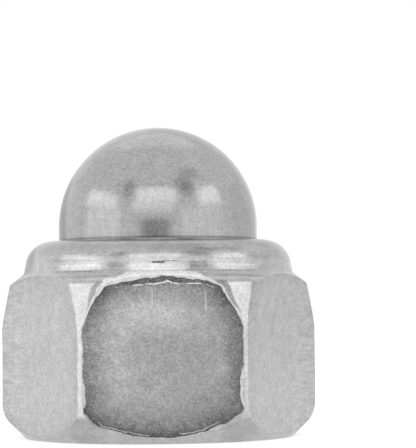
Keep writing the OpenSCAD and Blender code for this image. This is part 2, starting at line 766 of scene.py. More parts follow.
@dataclass(frozen=True)
class BodySurface(Surface):
    """The surface of the hexagon body, with lengths in millimetres.

    Attributes:
        depth: Distance inside the edge of the nearest flat, negative outside it.
        along: Distance from that flat's upright centre line.
        land: Mask of the corners between the flats.
        scraped: How scraped that flat is, from 0 to 1.
        right: Mask of the half that lies right of the axis.
    """

    depth: Signal
    along: Signal
    land: Signal
    scraped: Signal
    right: Signal


@dataclass(frozen=True)
class Score:
    """A nearly upright scratch on the front flat, in millimetres.

    Attributes:
        foot: How far right of the flat's centre its lower end is.
        lean: How far it moves right for each millimetre that it climbs.
        low: Height of its lower end.
        high: Height of its upper end.
        width: Half its width.
        tone: Tone of its metal.
    """

    foot: float
    lean: float
    low: float
    high: float
    width: float
    tone: float

    def mask(self, at: BodySurface) -> Signal:
        """Places the scratch.

        Args:
            at: The body's surface.

        Returns:
            Its mask.
        """
        return at.g.place(
            at.groups.score, Across=at.across, Back=at.back, Height=at.height, Foot=self.foot,
            Lean=self.lean, Low=self.low, High=self.high, Width=self.width)["Mask"]


@dataclass(frozen=True)
class CollarBand:
    """A band round the collar. Thin ones are lines and a crack that the rolling tool left; broad ones are
    painted highlights and painted shade that stand for reflections.

    Attributes:
        level: Its height in millimetres.
        at: Degrees that its middle lies to the right of the front.
        spread: Degrees from its middle to its ends.
        width: Half its width in millimetres.
        tone: Factor on the metal's tone, below 1 for a dark mark and for painted shade, above 1 for a painted
            highlight.
        rough: How unevenly wide it is, where 0 is even.
    """

    level: float
    at: float
    spread: float
    width: float
    tone: float
    rough: float = 1.0

    def mask(self, at: BodySurface) -> Signal:
        """Places the crease.

        Args:
            at: The body's surface.

        Returns:
            Its mask.
        """
        return at.g.place(
            at.groups.collar_band, Position=at.position, Across=at.across, Back=at.back, Height=at.height,
            Level=self.level, At=math.radians(self.at), Spread=math.radians(self.spread),
            Width=self.width, Rough=self.rough)["Mask"]


@dataclass(frozen=True)
class Bite:
    """A place where the burnished edge reaches into the front flat.

    Attributes:
        across: Millimetres that it lies to the right of the flat's middle.
        height: Its height in millimetres.
        wide: Half its width in millimetres.
        high: Half its height in millimetres.
        depth: How far the edge reaches in, in millimetres.
    """

    across: float
    height: float
    wide: float
    high: float
    depth: float

    def reach(self, at: BodySurface) -> Signal:
        """How far the edge reaches in at each place."""
        off_x, off_z = (at.across - self.across) / self.wide, (at.height - self.height) / self.high
        return (off_x * off_x + off_z * off_z).step(0.1, 1.0, self.depth, 0.0)


@dataclass(frozen=True)
class Patch:
    """A lighter or darker area on a scraped flat, with soft sides, in millimetres.

    Attributes:
        left: Its left side, measured right from the axis.
        right: Its right side.
        side_soft: Width over which those sides fade.
        low: Height of its lower side.
        high: Height of its upper side.
        end_soft: Height over which those sides fade.
        factor: Factor on the tone inside it.
    """

    left: float
    right: float
    side_soft: float
    low: float
    high: float
    end_soft: float
    factor: float

    def mask(self, at: BodySurface) -> Signal:
        """The patch's mask."""
        sides = at.across.window(self.left, self.right, self.side_soft)
        return sides * at.height.window(self.low, self.high, self.end_soft)


@dataclass(frozen=True)
class FormedSteel:
    """Cold formed stainless steel: scraped flats, burnished edges and lines on the collar, with painted
    highlights and painted shade.

    A profile is a row of pairs: a distance in millimetres, and the value there.

    Attributes:
        colour: Reflected colour of the plain metal.
        bright: Tone of the corners, which are burnished and carry a painted highlight.
        rim: Tone of the burnished rim over each scraped flat, raised by a painted highlight.
        shaded_tear: Tone of the ripped metal under that rim, darkened by painted shadow of the overhanging
            edge.
        burr: Tone of the painted highlight on the burr below the ripped metal.
        darker_band: Tone of the darker band beyond the lip.
        groove: Tone of the painted shade in the groove along a scraped flat's lower edge.
        glint: Tone of the painted highlight on the line above that groove.
        speck: Tone of the bright specks on a scraped flat.
        flat_centre: Height from which the scrape marks fan out.
        shoulder: Height of the shoulder's outer corner.
        foot: Heights over which a scraped flat's lowest part ends.
        upper: Heights over which its upper part begins.
        top: Heights over which its top begins.
        lip_rise: Heights over which its bright lip widens.
        left_lip: Depth at which that lip begins on the left, at the lower and the upper height.
        right_lip: The same on the right.
        by_height: Profile of the turned outside's tone, by height, with painted shade on the chamfer by the
            bearing face, on the shoulder's rounded corner and towards the top of the roll; it is also darker
            on the collar's wall.
        by_depth: Profile of a scraped flat's tone, by distance from its edge: painted shade, darkest at the
            edge, lightest about 1.6 in and darker again at the middle.
        by_side: Profile of a factor on that tone, by distance to the right: painted shade that darkens the
            flat's right side.
        fringe: Profile of the width of the painted shade on the corners beside a smooth flat, by height.
        left_gap: Profile of how far the darker stripe reaches from a scraped flat's left edge, by height.
        right_gap: The same for its right edge.
        patches: Lighter and darker areas on the scraped flats.
        scores: Scratches on the front flat.
        bites: Places where the burnished edge reaches into the front flat.
        collar_bands: Thin lines, beads and a crack round the collar, and broad painted highlights and painted
            shade on it.
    """

    colour: tuple[float, float, float] = (0.54, 0.54, 0.54)
    bright: float = 1.14
    rim: float = 1.45
    shaded_tear: float = 0.31
    burr: float = 1.75
    darker_band: float = 0.74
    groove: float = 0.2
    glint: float = 1.1
    speck: float = 1.2
    flat_centre: float = 4.2
    shoulder: float = 7.19
    foot: Span = (1.2, 2.2)
    upper: Span = (5.4, 6.2)
    top: Span = (6.3, 6.8)
    lip_rise: Span = (6.2, 7.15)
    left_lip: Span = (-0.08, -0.25)
    right_lip: Span = (-0.065, -0.13)
    by_height: Stops = (
        (0, 0.86), (1.0, 0.91), (1.4, 1.0), (7.16, 1.0), (7.22, 0.78), (7.34, 0.92), (7.6, 0.88),
        (7.76, 0.79), (7.9, 0.84), (7.98, 0.95), (8.22, 0.97), (8.3, 0.9), (8.7, 0.82), (9.0, 0.73),
        (9.3, 0.72))
    by_depth: Stops = ((0, 0.45), (0.12, 0.5), (0.4, 0.6), (0.8, 0.76), (1.2, 0.89), (1.6, 0.93), (3.2, 0.76))
    by_side: Stops = ((-3.2, 0.98), (-2.3, 1.04), (0.5, 1.02), (1.6, 0.87), (2.3, 0.85), (3.2, 0.82))
    fringe: Stops = ((1.6, 0.08), (5.4, 0.08), (5.8, 0.18), (6.6, 0.2), (7.2, 0.29))
    left_gap: Stops = ((5.7, 0.15), (6.3, 0.25), (6.6, 0.34), (7.15, 0.5))
    right_gap: Stops = ((5.7, 0.18), (6.1, 0.26), (6.6, 0.3), (6.9, 0.38), (7.15, 0.49))
    patches: tuple[Patch, ...] = (
        Patch(-9, -3.1, 0.8, 4.2, 6.5, 0.7, 1.22),
        Patch(2.4, 2.85, 0.15, 2.9, 5.0, 0.5, 1.14),
        Patch(-9, -1.8, 1.2, 6.6, 9, 0.6, 0.85),
    )
    scores: tuple[Score, ...] = (
        Score(-0.47, 0.0, 6.0, 7.05, 0.04, 1.26),
        Score(1.91, -0.01, 5.75, 6.85, 0.038, 1.2),
        Score(2.0, -0.53, 1.8, 2.4, 0.03, 0.5),
        Score(2.12, -0.6, 2.0, 2.5, 0.03, 1.0),
    )
    bites: tuple[Bite, ...] = (
        Bite(-2.5, 6.85, 0.9, 0.5, 0.12),
        Bite(-1.1, 7.15, 1.4, 0.6, 0.12),
        Bite(-0.3, 7.35, 0.6, 0.4, 0.04),
        Bite(0.95, 7.3, 0.7, 0.4, 0.13),
        Bite(3.0, 6.7, 1.1, 1.0, 0.15),
        Bite(3.6, 2.5, 0.5, 1.15, 0.17),
        Bite(2.75, 1.0, 1.35, 0.65, 0.21),
        Bite(-3.55, 2.15, 0.4, 0.7, 0.13),
        Bite(-3.15, 1.15, 0.6, 0.5, 0.15),
        Bite(-3.5, 6.1, 0.4, 0.3, 0.04),
        Bite(-3.6, 3.95, 0.5, 0.9, -0.06),
    )
    collar_bands: tuple[CollarBand, ...] = (
        # bands wider than 0.1 mm are painted reflections: painted highlights where the tone is above 1,
        # painted shade where it is below
        CollarBand(7.91, -35.5, 14, 0.17, 1.32, 0.4),
        CollarBand(8.36, -36, 15, 0.12, 0.99, 0.3),
        CollarBand(7.9, 32.5, 13, 0.18, 1.3, 0.4),
        CollarBand(8.74, 6, 14, 0.22, 0.82, 0.2),
        CollarBand(8.68, 26, 14, 0.13, 0.82, 0.3),
        CollarBand(8.075, -1.6, 3.2, 0.07, 0.12, 0.2),
        CollarBand(8.15, 3, 4.5, 0.026, 0.42, 0.3),
        CollarBand(7.98, 15, 5, 0.26, 0.62, 0.4),
        CollarBand(7.99, -18, 6, 0.17, 0.74, 0.5),
        CollarBand(8.2, -38, 15, 0.024, 0.66),
        CollarBand(7.72, -39, 13, 0.034, 0.68, 1.5),
        CollarBand(7.48, -34, 17, 0.06, 0.74),
        CollarBand(7.4, -37, 15, 0.035, 0.76),
        CollarBand(8.24, 31, 10, 0.022, 0.76),
        CollarBand(7.71, 33, 10, 0.026, 0.6),
        CollarBand(7.49, 30, 17, 0.055, 0.72),
        CollarBand(7.44, 34, 14, 0.04, 0.82),
        CollarBand(8.2, 84, 20, 0.025, 0.6),
        CollarBand(7.84, 118, 14, 0.03, 0.5),
        CollarBand(8.16, 171, 9, 0.03, 0.35),
        CollarBand(7.8, -152, 20, 0.03, 0.5),
        CollarBand(8.22, -98, 16, 0.025, 0.6),
        CollarBand(8.05, -165, 14, 0.15, 1.15, 0.4),
        CollarBand(8.35, 46, 8, 0.2, 0.86, 0.3),
        CollarBand(8.25, -52, 7, 0.16, 0.91, 0.3),
    )

    def worn(self, at: BodySurface) -> BodySurface:
        """The surface with its depth measured from the worn edges of the scraped flats.

        Args:
            at: The surface with its depth measured from the true edges.

        Returns:
            The worn surface.
        """
        bitten = at.along.step(0.7, 1.9, -0.02, 0.05) * at.height.step(6.2, 6.8)
        front = at.g.math("LESS_THAN", at.back, 0.0)
        for bite in self.bites:
            bitten = bitten + front * bite.reach(at)
        return replace(at, depth=at.depth.laid(at.depth - bitten, at.scraped))

    def lip(self, at: BodySurface) -> Signal:
        """How far outside a scraped flat its bright lip begins, as a negative depth."""
        left, right = (at.height.step(*self.lip_rise, *depths) for depths in (self.left_lip, self.right_lip))
        return left.laid(right, at.right)

    def scraped_metal(self, at: BodySurface, top: Signal) -> Signal:
        """Tone of a scraped flat without its edges and marks, with painted shade and light: darker near its
        edges, at its top and bottom, at its upper corners and on its right, lighter in its upper middle.

        Args:
            at: The worn surface.
            top: Mask of the flat's upper middle.

        Returns:
            The tone.
        """
        up = at.height - self.flat_centre
        out = (up * up + at.along * at.along).root()
        fan = at.g.vector(up.angle_to(at.across) * 14.0, out * 1.1, at.back)
        rays = at.clouding_at(fan, 0.7, at.depth.step(0.2, 1.5, 0.55, 0.16))
        pits = at.grain(0.06, at.depth.step(0.3, 1.2, 0.95, 0.5))["Tone"]
        # painted shade and light across the flat
        tone = (at.depth + top * 0.4).ramp(self.by_depth) * at.across.ramp(self.by_side)
        tone = tone * at.height.step(0.5, 3.4, 0.7, 1.0) * at.height.step(5.8, 7.0, 1.0, 0.8)
        tone = tone.scaled(out.step(3.0, 4.1, 1.0, 0.56), at.height.step(4.5, 6.5))
        tone = tone.scaled(1.14, at.along.fall(0.5, 2.6) * at.height.window(5.0, 6.3, 1.2))
        for patch in self.patches:
            tone = tone.scaled(patch.factor, patch.mask(at))
        return tone * pits * at.clouding(0.28, 0.3) * at.clouding(1.6, 0.25) * rays

    def upper_edge(self, at: BodySurface, inside: Signal, top: Signal, tone: Signal) -> Signal:
        """Adds the ripped metal in painted shadow, the rim and the burr with painted highlights, and the
        darker band, along a scraped flat's upper edge.

        Args:
            at: The worn surface.
            inside: The depth, made ragged.
            top: Mask of the flat's upper middle.
            tone: Tone without them.

        Returns:
            Tone with them.
        """
        shaded_tear = at.grain(0.09, 1.7)
        # painted shadow of the overhanging upper edge, mottled by the ripped metal's grain
        overhang_shadow = top * at.across.step(-2.7, -1.5, 0.55, 1.0) * inside.window(-0.05, 0.24, 0.06)
        tone = tone.laid(shaded_tear["Tone"] * self.shaded_tear, overhang_shadow)
        # painted highlight on the margin just outside a scraped flat's edge
        corner, rim = self.bright * 1.1, self.rim * 0.95
        margin = ((0.4, 0.9), (1.45, 0.92), (1.6, corner), (5.0, corner), (6.2, rim), (7.5, rim))
        tone = tone.laid(at.height.ramp(margin), inside.fall(-0.045, -0.015))
        lip = self.lip(at)
        band = at.height.step(*self.upper) * at.along.step(1.5, 2.2) * at.depth.fall(lip - 0.05, lip)
        tone = tone.laid(self.darker_band, band)
        # painted highlight along the broken burr line
        broken = at.noise(0.7, 3.0, (1, 1, 0.3)).step(0.4, 0.5, 0.1, 1.0) * at.across.window(-2.1, 2.2, 0.3)
        ridge = inside + shaded_tear["Height"] * 0.13 - at.across.window(-1.2, 0.8, 0.5) * 0.07
        return tone.laid(self.burr, top * broken * ridge.window(0.25, 0.33, 0.05))

    def lower_edge(self, at: BodySurface, inside: Signal, tone: Signal) -> Signal:
        """Adds painted shade along a scraped flat's lower edge and in its groove, and a painted highlight
        above the groove.

        Args:
            at: The worn surface.
            inside: The depth, made ragged.
            tone: Tone without them.

        Returns:
            Tone with them.
        """
        low = at.height.fall(*self.foot)
        # painted shade inside the lower edge
        tone = tone.scaled(inside.step(0.08, 0.42, 0.74, 1.0), low * at.across.fall(0.6, 1.8))
        thick = at.across.window(-2.4, -0.5, 0.6) * 0.06
        line = (inside - thick).window(-0.11, 0.06, 0.04) * inside.step(-0.06, -0.04)
        tone = tone.laid(self.groove, low * line * at.across.step(1.4, 2.4, 1.0, 0.4))
        shiny = at.noise(1.1, 3.0).step(0.48, 0.58)
        return tone.laid(self.glint, low * shiny * inside.window(0.08, 0.12, 0.03))

    def flat_tone(self, at: BodySurface) -> Signal:
        """Tone of a scraped flat.

        Args:
            at: The worn surface.

        Returns:
            The tone.
        """
        top = at.height.step(*self.top) * at.along.fall(1.9, 2.7)
        inside = at.depth + (at.noise(0.3, 3.0) - 0.5) * 0.12
        tone = self.upper_edge(at, inside, top, self.scraped_metal(at, top))
        tone = self.lower_edge(at, inside, tone)
        speck = at.noise(0.085, 1.0).step(0.64, 0.72)
        tone = tone.laid(self.speck, speck * at.depth.step(0.0, 1.3, 0.5, 0.12))
        for score in self.scores:
            tone = tone.laid(score.tone, score.mask(at))
        return tone

    def rolled_tone(self, at: BodySurface) -> Signal:
        """Tone of the turned outside by height, with painted shade, the tool's lines, marks and painted
        reflections on the collar, and a painted highlight in its middle.

        Args:
            at: The worn surface.

        Returns:
            The tone.
        """
        # at the collar's sides an even tone takes the place of the height profile and its painted shade
        sides = abs(at.across).step(4.3, 5.3) * at.height.window(7.0, 8.0, 0.3)
        tone = at.height.ramp(self.by_height).laid(0.98, sides)
        ridged = at.height.window(7.35, 7.95, 0.2) * 0.55 + at.height.step(8.3, 8.6, 0.45, 0.75)
        tone = tone * at.tool_lines(0.07, ridged)["Tone"]
        for collar_band in self.collar_bands:
            tone = tone.scaled(collar_band.tone, collar_band.mask(at))
        # painted highlight in the middle of the collar above the scraped flats
        central = at.across.window(-1.5, 1.1, 0.5) * at.height.window(7.2, 8.02, 0.15)
        return tone.laid(self.rim * 0.83, central * at.scraped)

    def turned_tone(self, at: BodySurface) -> Signal:
        """Tone of the corners, the shoulder, the collar and the end that bears, with their painted highlights
        and painted shade.

        Args:
            at: The worn surface.

        Returns:
            The tone.
        """
        # painted shade on the chamfer towards the corners
        tone = self.rolled_tone(at).scaled(0.86, at.height.fall(1.0, 1.3) * at.along.step(2.3, 3.0))
        hexagon = at.height.fall(self.shoulder - 0.02, self.shoulder + 0.03)
        # painted highlight on the corners: lighter low down and a little darker on the right
        corner = at.height.step(4.8, 6.0, self.bright * 1.14, self.bright)
        corner = corner.laid(self.bright * 0.98, at.right * at.height.fall(4.8, 6.2))
        tone = tone.laid(corner, at.land * hexagon * at.height.step(1.1, 1.35))
        # painted shade where a corner turns towards a smooth flat, twice as wide on the right
        fringe = at.height.ramp(self.fringe) * at.g.mix(at.right, 0.5, 1.0)
        beside = (1.0 - at.scraped) * at.height.step(1.6, 2.2) * (at.depth + fringe).step(-0.04, 0.02)
        tone = tone.laid(at.height.step(5.2, 6.0, 0.78, 0.66), hexagon * beside)
        upper = at.height.step(*self.upper) * at.scraped
        gap = at.height.ramp(self.left_gap).laid(at.height.ramp(self.right_gap), at.right) * -1.0
        lip = self.lip(at)
        stripe = at.depth.step(gap, gap + 0.05) * at.depth.fall(lip - 0.05, lip)
        beyond = at.along.step(2.1, 2.5) * at.height.fall(self.shoulder + 0.03, self.shoulder + 0.11)
        darker_band = at.g.mix(at.right, 0.68, at.height.step(6.0, 6.3, 0.72, 0.58))
        tone = tone.laid(darker_band, beyond * upper * stripe)
        # the burnished rim over each scraped flat, with its painted highlight fainter on the right
        reach = at.g.mix(at.along.step(0.4, 2.2), -0.6, lip)
        rim = at.across.step(1.6, 2.8, self.rim, self.rim * 0.88)
        return tone.laid(rim, upper * at.depth.step(reach - 0.04, reach))

    def smooth_flat(self, at: BodySurface) -> Signal:
        """Tone of a flat that wasn't scraped, with faint chatter marks and slanting wipe marks.

        Args:
            at: The surface.

        Returns:
            The tone.
        """
        outer = abs(at.across).step(5.5, 6.9, 0.05, 0.65)
        chatter = (at.noise(0.14, 2.0, (0.15, 0.15, 1)) - 0.5) * outer + 1.0
        slant = at.g.vector((at.along - at.height) * 0.1, at.along + at.height, 0.0)
        wiped = at.clouding_at(slant, 0.1, at.noise(2.6, 2.0).step(0.45, 0.6, 0.2, 0.6))
        return chatter * wiped * at.height.step(1.0, 6.0, 1.1, 1.03)

    def material(self, groups: Groups) -> bpy.types.Material:
        """Builds the material.

        Args:
            groups: The shared node groups.

        Returns:
            The material.
        """
        material, surface, shader = new_material("formed_steel", groups)
        g = surface.g
        depth, along, land, scraped = (
            Signal(g, g.node("Attribute", attribute_name=name).outputs["Fac"])
            for name in ("flat_depth", "flat_along", "corner_land", "scraped"))
        at = BodySurface(g, groups, surface.position, surface.across, surface.back, surface.height,
                         depth, along, land, scraped, surface.across.step(-1.0, 1.0))
        worn = self.worn(at)
        on_flat = (depth + (1.0 - scraped) * 0.045).step(-0.01, 0.02)
        rough_flat = on_flat * scraped

        grain = at.grain(0.065, 0.5)
        tone = self.turned_tone(worn).laid(self.smooth_flat(at), on_flat)
        # painted shade along the inside of each flat's edge
        tone = tone.scaled(0.92, depth.window(0.01, 0.08, 0.05))
        tone = tone.laid(self.flat_tone(worn), rough_flat)
        g.shade(shader.inputs["Base Color"], self.colour, tone * grain["Tone"] * at.clouding(0.5, 0.32))

        rough = at.height.step(7.7, 7.95, 0.3, 0.2).laid(0.4, on_flat)
        g.feed(shader.inputs["Roughness"], rough.laid(0.5, rough_flat))

        lines = at.tool_lines(0.05, 0.5)["Height"]
        g.relief(shader, grain["Height"].laid(lines, at.height.step(7.2, 7.8)), 0.4, 0.01)
        g.feed(shader.inputs["Metallic"], 1.0)
        return material


@dataclass(frozen=True)
class SatinSteel:
    """Satin stainless sheet with a fine grain and faint lines round it.

    Attributes:
        colour: Reflected colour.
        roughness: Roughness of the metal at the middle of its grain.
        uneven: How far the roughness varies to each side.
        foot: Height at which the sheet goes in under the collar's rim, in millimetres.
        gap_shade: Tones of the painted shade where the sheet goes in under the collar's rim, by height above
            that.
    """

    colour: tuple[float, float, float] = (0.41, 0.41, 0.41)
    roughness: float = 0.17
    uneven: float = 0.05
    foot: float = 9.23
    gap_shade: Stops = ((0.0, 0.46), (0.05, 0.56), (0.08, 0.72), (0.13, 1.0))

    def material(self, groups: Groups) -> bpy.types.Material:
        """Builds the material.

        Args:
            groups: The shared node groups.

        Returns:
            The material.
        """
        material, at, shader = new_material("satin_steel", groups)
        grain = at.grain(0.065, at.height.step(10.2, 12.2, 0.44, 0.64))
        drawn = at.noise(0.11, 2.0, (1, 1, 0.06)).about_one(at.height.fall(9.8, 11.5) * 0.36)
        tone = grain["Tone"] * at.clouding(0.45, 0.32) * at.tool_lines(0.07, 0.3)["Tone"] * drawn
        # painted shade in the gap where the sheet goes in under the collar's rim
        gap_shade = (at.height - self.foot).ramp(self.gap_shade)
        at.g.shade(shader.inputs["Base Color"], self.colour, tone * gap_shade)
        rough = at.g.mix(grain["Height"], self.roughness - self.uneven, self.roughness + self.uneven)
        at.g.feed(shader.inputs["Roughness"], rough)
        at.g.relief(shader, grain["Height"], 0.2, 0.006)
        at.g.feed(shader.inputs["Metallic"], 1.0)
        return material


@dataclass(frozen=True)
class NaturalNylon:
    """Undyed nylon, slightly waxy.

    Attributes:
        colour: Colour of the plastic.
        roughness: Roughness of its moulded surface.
        depth: How deep light gets into it, in millimetres.
    """

    colour: tuple[float, float, float] = (0.8, 0.79, 0.74)
    roughness: float = 0.42
    depth: float = 0.5

    def material(self, groups: Groups) -> bpy.types.Material:
        """Builds the material.

        Args:
            groups: The shared node groups.

        Returns:
            The material.
        """
        material, at, shader = new_material("natural_nylon", groups)
        grain = at.grain(0.12, 0.05)
        at.g.shade(shader.inputs["Base Color"], self.colour, grain["Tone"] * at.clouding(0.9, 0.1))
        at.g.relief(shader, grain["Height"], 0.2, 0.01)
        plain = {"Roughness": self.roughness, "Subsurface Weight": 0.25, "Subsurface Scale": self.depth * MM}
        for name, value in plain.items():
            at.g.feed(shader.inputs[name], value)
        return material


# ---------------------------------------------------------------------------------------------
# Pieces
# ---------------------------------------------------------------------------------------------

@dataclass
class Piece:
    """A piece that stands for one node of the frame. Sizes are in millimetres.

    Attributes:
        name: Name of the piece.
        node: The node that it stands for.
        slot: The record's slot for its finish.
    """

    name: str
    node: str
    slot: str

    def __post_init__(self) -> None:
        """Takes the outer sizes from the node."""
        low, high = (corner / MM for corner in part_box(self.node))
        self.half_x, self.half_y, self.bottom, self.top = high.x, high.y, low.z, high.z

    def build(self) -> bpy.types.Object:
        """Builds the piece as one closed mesh."""
        raise NotImplementedError

    def dress(self, piece: bpy.types.Object, material: bpy.types.Material) -> None:
        """Gives the built piece its finish and puts it in the place of its node.

        Args:
            piece: The built piece.
            material: Its finish.
        """
        piece.data.materials.append(material)
        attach(piece, "root")
        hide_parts(self.node)


@dataclass
class NutBody(Piece):
    """The hexagon body with its rolled collar and its internal thread."""

    name: str = "hex_body"
    node: str = "nut_body"
    slot: str = "body_steel"
    corner_trim: float = 0.105      # how far the sharp corners are trimmed back, on the radius
    lean_h: float = 2.04            # height below the shoulder over which the corners lean inwards
    lean_angle: float = 10.5        # lean of the corners from the vertical
    shoulder_angle: float = 37.0    # slope of the shoulder below the horizontal
    shoulder_round: float = 0.3     # radius on the shoulder's outer corner
    edge_z: float = 1.62            # height at which the flats begin to curve in towards the bearing face
    edge_round: float = 1.3         # radius of that curve
    edge_angle: float = 45.0        # slope of the chamfer below the curve, from the horizontal
    rim_round: float = 0.12         # radius on the rim of the bearing face
    collar_h: float = 2.04          # height of the collar's top above the outer corner of the shoulder
    collar_step: float = 0.22       # how far the collar stands back from the flats
    collar_fillet: float = 0.3      # fillet between the collar and the shoulder
    roll_round: float = 1.2         # outer radius of the roll
    flare_angle: float = 10.0       # lean of the collar's wall below the roll
    lip_r: float = 4.89             # inner radius of the lip that is rolled in over the cap
    lip_t: float = 0.83             # thickness of the lip
    lip_round: float = 0.12         # radius on its inner edge
    lip_fall: float = 0.07          # how far its top slopes down towards the roll
    recess_r: float = 5.45          # radius of the room for the ring and the cap's flange
    thread_d: float = 8.0           # nominal diameter of the thread
    thread_pitch: float = 1.25
    thread_room: float = 0.02       # clearance at the thread's roots
    # pairs of a share of the pitch and the share of the thread's depth that is cut there
    thread_form: Stops = ((0, 0), (0.25, 0), (0.4, 0.48), (0.5625, 1), (0.6875, 1), (0.85, 0.48))
    mouth_r: float = 4.35           # radius at the mouth of the hole
    countersink_angle: float = 120.0    # full angle of the countersinks at both ends of the thread
    edge_blend: float = 0.08        # rounding of the hexagon's own edges
    sunk: float = 0.05              # how far the scraped flats lie below their rims
    sunk_share: float = 0.2         # share of that depth that the smooth flats have
    lap: float = 0.045              # how far a scraped flat laps over the corners beside it
    hold_back: float = 0.14         # how much further it stays back from its upper and lower edge
    ragged: float = 0.01            # how far the edge of a smooth flat wanders
    ragged_more: float = 0.04       # how much further that of a scraped flat does
    edge_waves: Waves = Waves(0.55, 3.7, 4)
    uneven: float = 0.012           # how far the formed outside bulges in and out
    bulges: Waves = Waves(2.2, 9.1)
    land_inset: float = 0.03        # how far the bright corners stay back from the flats' planes
    land_taper: float = 0.078       # how much further they do at the shoulder
    land_ragged: float = 0.05       # how far their sides wander
    land_waves: Waves = Waves(0.3, 5.3)
    scraped: tuple[float, ...] = (0.12, 1.0, 0.1, 0.12, 1.0, 0.1)   # how scraped each flat is
    columns: int = 480              # columns of faces round the outside
    crowding: float = 0.35          # how much closer together the columns lie at the corners
    coarser: int = 4                # the inside has this many times fewer columns

    def __post_init__(self) -> None:
        """Works out the sizes that follow from the frame and from the others."""
        super().__post_init__()
        self.apothem = self.half_y
        self.collar_r = self.apothem - self.collar_step
        self.corner_r = self.apothem / math.cos(math.radians(30)) - self.corner_trim
        self.shoulder_z = self.top - self.collar_h
        self.shoulder_r = self.corner_r - self.lean_h * math.tan(math.radians(self.lean_angle))
        self.shoulder_slope = math.tan(math.radians(self.shoulder_angle))
        edge = math.radians(self.edge_angle)
        self.edge_slope = math.tan(edge)
        end_z = self.edge_z - self.edge_round * math.cos(edge)
        end_r = self.corner_r - self.edge_round * (1 - math.sin(edge))
        self.base_r = end_r - end_z / self.edge_slope
        self.seat_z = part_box("locking_ring")[0].z / MM                      # the ring lies on the seat
        self.minor_r = (self.thread_d - 1.0825 * self.thread_pitch) / 2     # crests of a metric thread
        self.sink_slope = math.tan(math.radians(90 - self.countersink_angle / 2))

    def outside(self) -> np.ndarray:
        """Draws the turned outside, from the bearing face to the underside of the lip.

        Returns:
            The half section's (r, z) rows.
        """
        tangent = self.edge_round * math.tan(math.radians(self.edge_angle) / 2)
        flare, slope = math.radians(self.flare_angle), self.shoulder_slope
        lean = math.tan(flare)
        wall_z = self.top - self.roll_round * (1 - math.sin(flare))
        wall_r = self.collar_r - self.roll_round * (1 - math.cos(flare))
        foot_z = (self.shoulder_z + (self.shoulder_r - wall_r - wall_z * lean) * slope) / (1 - lean * slope)
        foot_r = wall_r + (wall_z - foot_z) * lean
        roll_r = wall_r - (self.top - wall_z) * lean
        return outline([
            Corner(self.base_r - 0.5, 0),
            Corner(self.base_r, 0, self.rim_round),
            Corner(self.corner_r, self.edge_z - tangent, self.edge_round, 0.06),
            Corner(self.corner_r, self.shoulder_z - self.lean_h, 0, 0.08),
            Corner(self.shoulder_r, self.shoulder_z, self.shoulder_round, 0.06),
            Corner(foot_r, foot_z, self.collar_fillet, 0.05),
            Corner(roll_r, self.top - self.lip_fall, self.roll_round, 0.06),
            Corner(self.lip_r, self.top, self.lip_round),
            Corner(self.lip_r, self.top - self.lip_t, 0, 0.25),
        ], 0.055)

    def angles(self) -> np.ndarray:
        """Angles of the fine columns, which lie closer together at the hexagon's corners."""
        even = np.arange(self.columns) * 2 * math.pi / self.columns
        return even - self.crowding * np.sin(6 * even) / 6

    def flat_outline(self, section: np.ndarray) -> tuple[np.ndarray, np.ndarray]:
        """Finds where the turned outside cuts the flats.

        Args:
            section: Half section of the turned outside.

        Returns:
            Distances from the flat's upright centre line, and the heights that go with them.
        """
        cut = section[(section[:, 0] > self.apothem) & (section[:, 1] < self.top - 1)]
        far = np.sqrt(cut[:, 0] ** 2 - self.apothem ** 2)
        shoulder_top = self.shoulder_z + (self.shoulder_r - self.apothem) * self.shoulder_slope
        foot = (self.apothem - self.base_r) * self.edge_slope
        return np.concatenate([[0], far, [0]]), np.concatenate([[foot], cut[:, 1], [shoulder_top]])

    def edge_distance(self, along: np.ndarray, height: np.ndarray, section: np.ndarray) -> np.ndarray:
        """Measures how far points on a flat are from the flat's edge.

        Args:
            along: Distance of each point from the flat's upright centre line.
            height: Height of each point.
            section: Half section of the turned outside.

        Returns:
            The distances, positive inside the flat's outline.
        """
        edge_t, edge_z = self.flat_outline(section)
        run = np.concatenate([[0], np.cumsum(np.hypot(np.diff(edge_t), np.diff(edge_z)))])
        dense = np.linspace(0, run[-1], 500)
        dense_t = np.interp(dense, run, edge_t)
        dense_z = np.interp(dense, run, edge_z)
        t = np.abs(along).reshape(-1, 1)
        z = height.reshape(-1, 1)
        batch = 4000
        far = np.concatenate([np.hypot(t[i:i + batch] - dense_t, z[i:i + batch] - dense_z).min(1)
                              for i in range(0, len(t), batch)])
        inside = t[:, 0] < np.interp(z[:, 0], edge_z, edge_t, left=-1, right=-1)
        return np.where(inside, far, -far).reshape(along.shape)

    def grow_outside(self, skin: Skin) -> tuple[Ring, Ring]:
        """Adds the outside with its hexagon.

        Args:
            skin: The mesh that is being grown.

        Returns:
            The first ring, on the bearing face, and the last, at the underside of the lip.
        """
        section, angle = self.outside(), self.angles()
        sixth = math.pi / 3
        off = (angle % sixth) - sixth / 2
        r = section[:, :1] + 0 * angle
        z = section[:, 1:] + 0 * angle
        hexagon = self.apothem / np.cos(off) + 0 * r
        plain = np.minimum(r, hexagon)
        points = np.stack([plain * np.cos(angle), plain * np.sin(angle), z], -1)
        scraped = np.array(self.scraped)[(angle // sixth).astype(int) % 6] + 0 * r

        depth = self.edge_distance(plain * np.sin(off), z, section)
        depth = np.where(r < self.apothem - 0.1, -1.0, depth)
        waves = self.edge_waves.at(points, np.abs(depth) < 0.6)
        ends = smooth_step(z, self.shoulder_z - 0.3, self.shoulder_z + 0.05) + smooth_step(-z, -1.0, -0.55)
        depth = depth + (self.lap - self.hold_back * ends) * scraped
        depth = depth - (self.ragged + self.ragged_more * scraped) * waves

